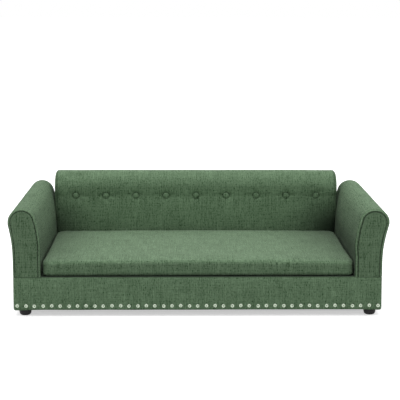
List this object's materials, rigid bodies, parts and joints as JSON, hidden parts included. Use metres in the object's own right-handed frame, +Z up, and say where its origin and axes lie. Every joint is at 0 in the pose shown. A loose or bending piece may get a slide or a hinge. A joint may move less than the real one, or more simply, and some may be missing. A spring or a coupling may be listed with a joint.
{
  "type": "dog sofa bed",
  "caption": "Upholstered pet sofa bed: box base on round feet, rolled welted arms, buttoned back, row of decorative nails and a loose boxed cushion that lifts out.",
  "frame": {"origin": "on the floor under the middle of the sofa, halfway between its ends and between its front and rear covers", "axes": "+X to the sofa's left arm as a person sitting on it sees it, which is the right in the front view, +Y to the back, +Z up"},
  "size_m": [1.118, 0.613, 0.357],
  "materials": {
    "upholstery": "heathered green linen weave",
    "lining": "black spun lining",
    "foam": "cut upholstery foam",
    "timber": "sawn softwood",
    "plywood": "sanded plywood",
    "foot_plastic": "black moulded",
    "plated_steel": "zinc plated",
    "nail_metal": "brushed nickel",
    "nylon": "waxed twine and moulded toggles",
    "zip_tape": "woven tape with a moulded coil",
    "slider_metal": "enamelled"
  },
  "bodies": {
    "sofa_frame": {"base_cover_front": "upholstery", "base_cover_rear": "upholstery", "base_cover_side_left": "upholstery", "base_cover_side_right": "upholstery", "arm_cover_left": "upholstery", "arm_cover_right": "upholstery", "arm_facing_left": "upholstery", "arm_facing_right": "upholstery", "arm_welt_left": "upholstery", "arm_welt_right": "upholstery", "back_cover": "upholstery", "back_rear_panel": "upholstery", "back_buttons": "upholstery", "deck_cover": "lining", "dust_cover": "lining", "arm_foam_left": "foam", "arm_foam_right": "foam", "back_foam": "foam", "base_front_rail": "timber", "base_rear_rail": "timber", "base_side_rail_left": "timber", "base_side_rail_right": "timber", "base_cross_rail_left": "timber", "base_cross_rail_right": "timber", "corner_blocks": "timber", "arm_stretchers_left": "timber", "arm_stretchers_right": "timber", "back_bottom_rail": "timber", "back_top_rail": "timber", "back_uprights": "timber", "seat_deck": "plywood", "arm_front_board_left": "plywood", "arm_front_board_right": "plywood", "arm_rear_board_left": "plywood", "arm_rear_board_right": "plywood", "arm_bottom_board_left": "plywood", "arm_bottom_board_right": "plywood", "back_board": "plywood", "foot_front_left": "foot_plastic", "foot_front_right": "foot_plastic", "foot_rear_left": "foot_plastic", "foot_rear_right": "foot_plastic", "foot_screws": "plated_steel", "back_screws": "plated_steel", "arm_bolts_left": "plated_steel", "arm_bolts_right": "plated_steel", "arm_washers_left": "plated_steel", "arm_washers_right": "plated_steel", "arm_inserts_left": "plated_steel", "arm_inserts_right": "plated_steel", "nail_trim": "nail_metal", "button_ties": "nylon"},
    "seat_cushion": {"cushion_cover": "upholstery", "cushion_foam": "foam", "cushion_zip": "zip_tape"},
    "zip_slider": {"zip_slider": "slider_metal"}
  },
  "joints": [
    {"name": "cushion_lift", "type": "slide", "parent": "sofa_frame", "child": "seat_cushion", "axis": [0, 0, 1], "range_m": [0, 0.26]},
    {"name": "zip_travel", "type": "slide", "parent": "seat_cushion", "child": "zip_slider", "axis": [-1, 0, 0], "range_m": [0, 0.744]}
  ]
}
